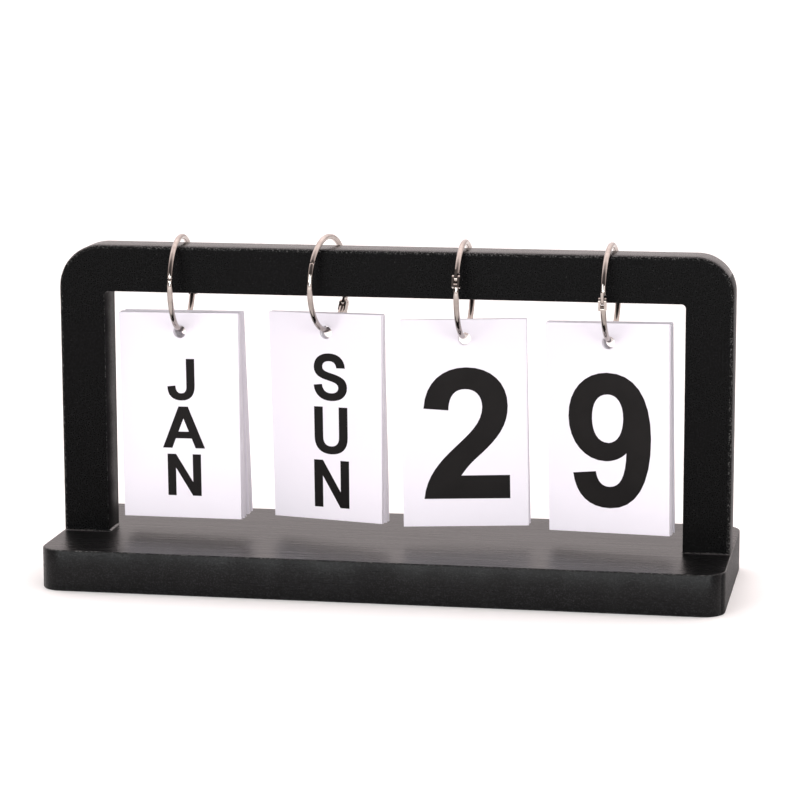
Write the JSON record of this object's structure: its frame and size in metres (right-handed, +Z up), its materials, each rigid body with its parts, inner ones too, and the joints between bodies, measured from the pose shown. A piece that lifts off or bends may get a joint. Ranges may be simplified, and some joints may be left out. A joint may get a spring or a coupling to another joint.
{
  "type": "flip desk calendar",
  "caption": "Painted board base with an upside-down U frame; hinged book rings on its rail carry packs of punched month, weekday and date cards that flip over.",
  "frame": {"origin": "centre of the underside of the base", "axes": "+Z up, +X along the rail to the reader's right, -Y towards the reader"},
  "size_m": [0.261, 0.087, 0.1338],
  "materials": {
    "painted_board": "black satin paint, brushed on, slightly uneven at the edges",
    "ring_nickel": "bright nickel plate",
    "screw_steel": "zinc plated",
    "card_stock": "smooth matt white card printed with black capitals and numerals"
  },
  "bodies": {
    "stand": {"base_board": "painted_board", "arch_frame": "painted_board", "screw_left_outer": "screw_steel", "screw_left_inner": "screw_steel", "screw_right_inner": "screw_steel", "screw_right_outer": "screw_steel"},
    "month_ring": {"month_ring_lower_half": "ring_nickel", "month_ring_pin": "ring_nickel"},
    "month_ring_gate": {"month_ring_upper_half": "ring_nickel"},
    "month_card_jan": {"month_card_jan": "card_stock"},
    "month_card_feb": {"month_card_feb": "card_stock"},
    "month_card_mar": {"month_card_mar": "card_stock"},
    "month_card_apr": {"month_card_apr": "card_stock"},
    "month_card_may": {"month_card_may": "card_stock"},
    "month_card_jun": {"month_card_jun": "card_stock"},
    "month_card_dec": {"month_card_dec": "card_stock"},
    "month_card_nov": {"month_card_nov": "card_stock"},
    "month_card_oct": {"month_card_oct": "card_stock"},
    "month_card_sep": {"month_card_sep": "card_stock"},
    "month_card_aug": {"month_card_aug": "card_stock"},
    "month_card_jul": {"month_card_jul": "card_stock"},
    "weekday_ring": {"weekday_ring_lower_half": "ring_nickel", "weekday_ring_pin": "ring_nickel"},
    "weekday_ring_gate": {"weekday_ring_upper_half": "ring_nickel"},
    "weekday_card_sun": {"weekday_card_sun": "card_stock"},
    "weekday_card_mon": {"weekday_card_mon": "card_stock"},
    "weekday_card_tue": {"weekday_card_tue": "card_stock"},
    "weekday_card_wed": {"weekday_card_wed": "card_stock"},
    "weekday_card_sat": {"weekday_card_sat": "card_stock"},
    "weekday_card_fri": {"weekday_card_fri": "card_stock"},
    "weekday_card_thu": {"weekday_card_thu": "card_stock"},
    "tens_ring": {"tens_ring_lower_half": "ring_nickel", "tens_ring_pin": "ring_nickel"},
    "tens_ring_gate": {"tens_ring_upper_half": "ring_nickel"},
    "tens_card_2": {"tens_card_2": "card_stock"},
    "tens_card_3": {"tens_card_3": "card_stock"},
    "tens_card_1": {"tens_card_1": "card_stock"},
    "tens_card_0": {"tens_card_0": "card_stock"},
    "units_ring": {"units_ring_lower_half": "ring_nickel", "units_ring_pin": "ring_nickel"},
    "units_ring_gate": {"units_ring_upper_half": "ring_nickel"},
    "units_card_9": {"units_card_9": "card_stock"},
    "units_card_0": {"units_card_0": "card_stock"},
    "units_card_1": {"units_card_1": "card_stock"},
    "units_card_2": {"units_card_2": "card_stock"},
    "units_card_3": {"units_card_3": "card_stock"},
    "units_card_8": {"units_card_8": "card_stock"},
    "units_card_7": {"units_card_7": "card_stock"},
    "units_card_6": {"units_card_6": "card_stock"},
    "units_card_5": {"units_card_5": "card_stock"},
    "units_card_4": {"units_card_4": "card_stock"}
  },
  "joints": [
    {"name": "month_ring_slide", "type": "slide", "parent": "stand", "child": "month_ring", "axis": [1, 0, 0], "range_m": [-0.003, 0.0038]},
    {"name": "month_ring_open", "type": "hinge", "parent": "month_ring", "child": "month_ring_gate", "pos_m": [-0.0832, 0.01676, 0.11016], "axis": [-1, 0, 0], "range_deg": [0, 75]},
    {"name": "month_card_jan_flip", "type": "hinge", "parent": "month_ring", "child": "month_card_jan", "pos_m": [-0.0832, -0.0016, 0.11373], "axis": [1, 0, 0], "range_deg": [-100, 0]},
    {"name": "month_card_feb_flip", "type": "hinge", "parent": "month_ring", "child": "month_card_feb", "pos_m": [-0.0832, -0.0016, 0.11373], "axis": [1, 0, 0], "range_deg": [-83.34, 0]},
    {"name": "month_card_mar_flip", "type": "hinge", "parent": "month_ring", "child": "month_card_mar", "pos_m": [-0.0832, -0.0016, 0.11373], "axis": [1, 0, 0], "range_deg": [-66.68, 0]},
    {"name": "month_card_apr_flip", "type": "hinge", "parent": "month_ring", "child": "month_card_apr", "pos_m": [-0.0832, -0.0016, 0.11373], "axis": [1, 0, 0], "range_deg": [-50.01, 0]},
    {"name": "month_card_may_flip", "type": "hinge", "parent": "month_ring", "child": "month_card_may", "pos_m": [-0.0832, -0.0016, 0.11373], "axis": [1, 0, 0], "range_deg": [-33.34, 0]},
    {"name": "month_card_jun_flip", "type": "hinge", "parent": "month_ring", "child": "month_card_jun", "pos_m": [-0.0832, -0.0016, 0.11373], "axis": [1, 0, 0], "range_deg": [-16.68, 0]},
    {"name": "month_card_dec_flip", "type": "hinge", "parent": "month_ring", "child": "month_card_dec", "pos_m": [-0.0832, -0.0016, 0.11373], "axis": [-1, 0, 0], "range_deg": [-100, 0]},
    {"name": "month_card_nov_flip", "type": "hinge", "parent": "month_ring", "child": "month_card_nov", "pos_m": [-0.0832, -0.0016, 0.11373], "axis": [-1, 0, 0], "range_deg": [-83.34, 0]},
    {"name": "month_card_oct_flip", "type": "hinge", "parent": "month_ring", "child": "month_card_oct", "pos_m": [-0.0832, -0.0016, 0.11373], "axis": [-1, 0, 0], "range_deg": [-66.68, 0]},
    {"name": "month_card_sep_flip", "type": "hinge", "parent": "month_ring", "child": "month_card_sep", "pos_m": [-0.0832, -0.0016, 0.11373], "axis": [-1, 0, 0], "range_deg": [-50.01, 0]},
    {"name": "month_card_aug_flip", "type": "hinge", "parent": "month_ring", "child": "month_card_aug", "pos_m": [-0.0832, -0.0016, 0.11373], "axis": [-1, 0, 0], "range_deg": [-33.34, 0]},
    {"name": "month_card_jul_flip", "type": "hinge", "parent": "month_ring", "child": "month_card_jul", "pos_m": [-0.0832, -0.0016, 0.11373], "axis": [-1, 0, 0], "range_deg": [-16.68, 0]},
    {"name": "weekday_ring_slide", "type": "slide", "parent": "stand", "child": "weekday_ring", "axis": [1, 0, 0], "range_m": [-0.0038, 0.0014]},
    {"name": "weekday_ring_open", "type": "hinge", "parent": "weekday_ring", "child": "weekday_ring_gate", "pos_m": [-0.02246, 0.01405, 0.10506], "axis": [0.9816, -0.1908, 0], "range_deg": [-75, 0]},
    {"name": "weekday_card_sun_flip", "type": "hinge", "parent": "weekday_ring", "child": "weekday_card_sun", "pos_m": [-0.0255, -0.0016, 0.11483], "axis": [-0.9816, 0.1908, 0], "range_deg": [0, 60]},
    {"name": "weekday_card_mon_flip", "type": "hinge", "parent": "weekday_ring", "child": "weekday_card_mon", "pos_m": [-0.0255, -0.0016, 0.11483], "axis": [-0.9816, 0.1908, 0], "range_deg": [0, 45.01]},
    {"name": "weekday_card_tue_flip", "type": "hinge", "parent": "weekday_ring", "child": "weekday_card_tue", "pos_m": [-0.0255, -0.0016, 0.11483], "axis": [-0.9816, 0.1908, 0], "range_deg": [0, 30.01]},
    {"name": "weekday_card_wed_flip", "type": "hinge", "parent": "weekday_ring", "child": "weekday_card_wed", "pos_m": [-0.0255, -0.0016, 0.11483], "axis": [-0.9816, 0.1908, 0], "range_deg": [0, 15.01]},
    {"name": "weekday_card_sat_flip", "type": "hinge", "parent": "weekday_ring", "child": "weekday_card_sat", "pos_m": [-0.0255, -0.0016, 0.11483], "axis": [0.9816, -0.1908, 0], "range_deg": [0, 60]},
    {"name": "weekday_card_fri_flip", "type": "hinge", "parent": "weekday_ring", "child": "weekday_card_fri", "pos_m": [-0.0255, -0.0016, 0.11483], "axis": [0.9816, -0.1908, 0], "range_deg": [0, 40.01]},
    {"name": "weekday_card_thu_flip", "type": "hinge", "parent": "weekday_ring", "child": "weekday_card_thu", "pos_m": [-0.0255, -0.0016, 0.11483], "axis": [0.9816, -0.1908, 0], "range_deg": [0, 20]},
    {"name": "tens_ring_slide", "type": "slide", "parent": "stand", "child": "tens_ring", "axis": [1, 0, 0], "range_m": [-0.0014, 0.0026]},
    {"name": "tens_ring_open", "type": "hinge", "parent": "tens_ring", "child": "tens_ring_gate", "pos_m": [0.02709, -0.01917, 0.12012], "axis": [0.9998, -0.0175, 0], "range_deg": [0, 75]},
    {"name": "tens_card_2_flip", "type": "hinge", "parent": "tens_ring", "child": "tens_card_2", "pos_m": [0.0274, -0.0016, 0.11373], "axis": [0.9998, -0.0175, 0], "range_deg": [-100, 0]},
    {"name": "tens_card_3_flip", "type": "hinge", "parent": "tens_ring", "child": "tens_card_3", "pos_m": [0.0274, -0.0016, 0.11373], "axis": [0.9998, -0.0175, 0], "range_deg": [-50.01, 0]},
    {"name": "tens_card_1_flip", "type": "hinge", "parent": "tens_ring", "child": "tens_card_1", "pos_m": [0.0274, -0.0016, 0.11373], "axis": [-0.9998, 0.0175, 0], "range_deg": [-100, 0]},
    {"name": "tens_card_0_flip", "type": "hinge", "parent": "tens_ring", "child": "tens_card_0", "pos_m": [0.0274, -0.0016, 0.11373], "axis": [-0.9998, 0.0175, 0], "range_deg": [-50.01, 0]},
    {"name": "units_ring_slide", "type": "slide", "parent": "stand", "child": "units_ring", "axis": [1, 0, 0], "range_m": [-0.0026, 0.0022]},
    {"name": "units_ring_open", "type": "hinge", "parent": "units_ring", "child": "units_ring_gate", "pos_m": [0.08222, -0.02026, 0.11308], "axis": [-0.9986, 0.0523, 0], "range_deg": [-75, 0]},
    {"name": "units_card_9_flip", "type": "hinge", "parent": "units_ring", "child": "units_card_9", "pos_m": [0.0832, -0.0016, 0.11373], "axis": [-0.9986, 0.0523, 0], "range_deg": [0, 100]},
    {"name": "units_card_0_flip", "type": "hinge", "parent": "units_ring", "child": "units_card_0", "pos_m": [0.0832, -0.0016, 0.11373], "axis": [-0.9986, 0.0523, 0], "range_deg": [0, 80.01]},
    {"name": "units_card_1_flip", "type": "hinge", "parent": "units_ring", "child": "units_card_1", "pos_m": [0.0832, -0.0016, 0.11373], "axis": [-0.9986, 0.0523, 0], "range_deg": [0, 60.01]},
    {"name": "units_card_2_flip", "type": "hinge", "parent": "units_ring", "child": "units_card_2", "pos_m": [0.0832, -0.0016, 0.11373], "axis": [-0.9986, 0.0523, 0], "range_deg": [0, 40.01]},
    {"name": "units_card_3_flip", "type": "hinge", "parent": "units_ring", "child": "units_card_3", "pos_m": [0.0832, -0.0016, 0.11373], "axis": [-0.9986, 0.0523, 0], "range_deg": [0, 20.01]},
    {"name": "units_card_8_flip", "type": "hinge", "parent": "units_ring", "child": "units_card_8", "pos_m": [0.0832, -0.0016, 0.11373], "axis": [0.9986, -0.0523, 0], "range_deg": [0, 100]},
    {"name": "units_card_7_flip", "type": "hinge", "parent": "units_ring", "child": "units_card_7", "pos_m": [0.0832, -0.0016, 0.11373], "axis": [0.9986, -0.0523, 0], "range_deg": [0, 80.01]},
    {"name": "units_card_6_flip", "type": "hinge", "parent": "units_ring", "child": "units_card_6", "pos_m": [0.0832, -0.0016, 0.11373], "axis": [0.9986, -0.0523, 0], "range_deg": [0, 60.01]},
    {"name": "units_card_5_flip", "type": "hinge", "parent": "units_ring", "child": "units_card_5", "pos_m": [0.0832, -0.0016, 0.11373], "axis": [0.9986, -0.0523, 0], "range_deg": [0, 40.01]},
    {"name": "units_card_4_flip", "type": "hinge", "parent": "units_ring", "child": "units_card_4", "pos_m": [0.0832, -0.0016, 0.11373], "axis": [0.9986, -0.0523, 0], "range_deg": [0, 20.01]}
  ],
  "couplings": [
    {"joint": "month_card_feb_flip", "follows": "month_card_jan_flip", "ratio": 0.8333},
    {"joint": "month_card_mar_flip", "follows": "month_card_jan_flip", "ratio": 0.6667},
    {"joint": "month_card_apr_flip", "follows": "month_card_jan_flip", "ratio": 0.5},
    {"joint": "month_card_may_flip", "follows": "month_card_jan_flip", "ratio": 0.3333},
    {"joint": "month_card_jun_flip", "follows": "month_card_jan_flip", "ratio": 0.1667},
    {"joint": "month_card_nov_flip", "follows": "month_card_dec_flip", "ratio": 0.8333},
    {"joint": "month_card_oct_flip", "follows": "month_card_dec_flip", "ratio": 0.6667},
    {"joint": "month_card_sep_flip", "follows": "month_card_dec_flip", "ratio": 0.5},
    {"joint": "month_card_aug_flip", "follows": "month_card_dec_flip", "ratio": 0.3333},
    {"joint": "month_card_jul_flip", "follows": "month_card_dec_flip", "ratio": 0.1667},
    {"joint": "weekday_card_mon_flip", "follows": "weekday_card_sun_flip", "ratio": 0.75},
    {"joint": "weekday_card_tue_flip", "follows": "weekday_card_sun_flip", "ratio": 0.5},
    {"joint": "weekday_card_wed_flip", "follows": "weekday_card_sun_flip", "ratio": 0.25},
    {"joint": "weekday_card_fri_flip", "follows": "weekday_card_sat_flip", "ratio": 0.6667},
    {"joint": "weekday_card_thu_flip", "follows": "weekday_card_sat_flip", "ratio": 0.3333},
    {"joint": "tens_card_3_flip", "follows": "tens_card_2_flip", "ratio": 0.5},
    {"joint": "tens_card_0_flip", "follows": "tens_card_1_flip", "ratio": 0.5},
    {"joint": "units_card_0_flip", "follows": "units_card_9_flip", "ratio": 0.8},
    {"joint": "units_card_1_flip", "follows": "units_card_9_flip", "ratio": 0.6},
    {"joint": "units_card_2_flip", "follows": "units_card_9_flip", "ratio": 0.4},
    {"joint": "units_card_3_flip", "follows": "units_card_9_flip", "ratio": 0.2},
    {"joint": "units_card_7_flip", "follows": "units_card_8_flip", "ratio": 0.8},
    {"joint": "units_card_6_flip", "follows": "units_card_8_flip", "ratio": 0.6},
    {"joint": "units_card_5_flip", "follows": "units_card_8_flip", "ratio": 0.4},
    {"joint": "units_card_4_flip", "follows": "units_card_8_flip", "ratio": 0.2}
  ]
}
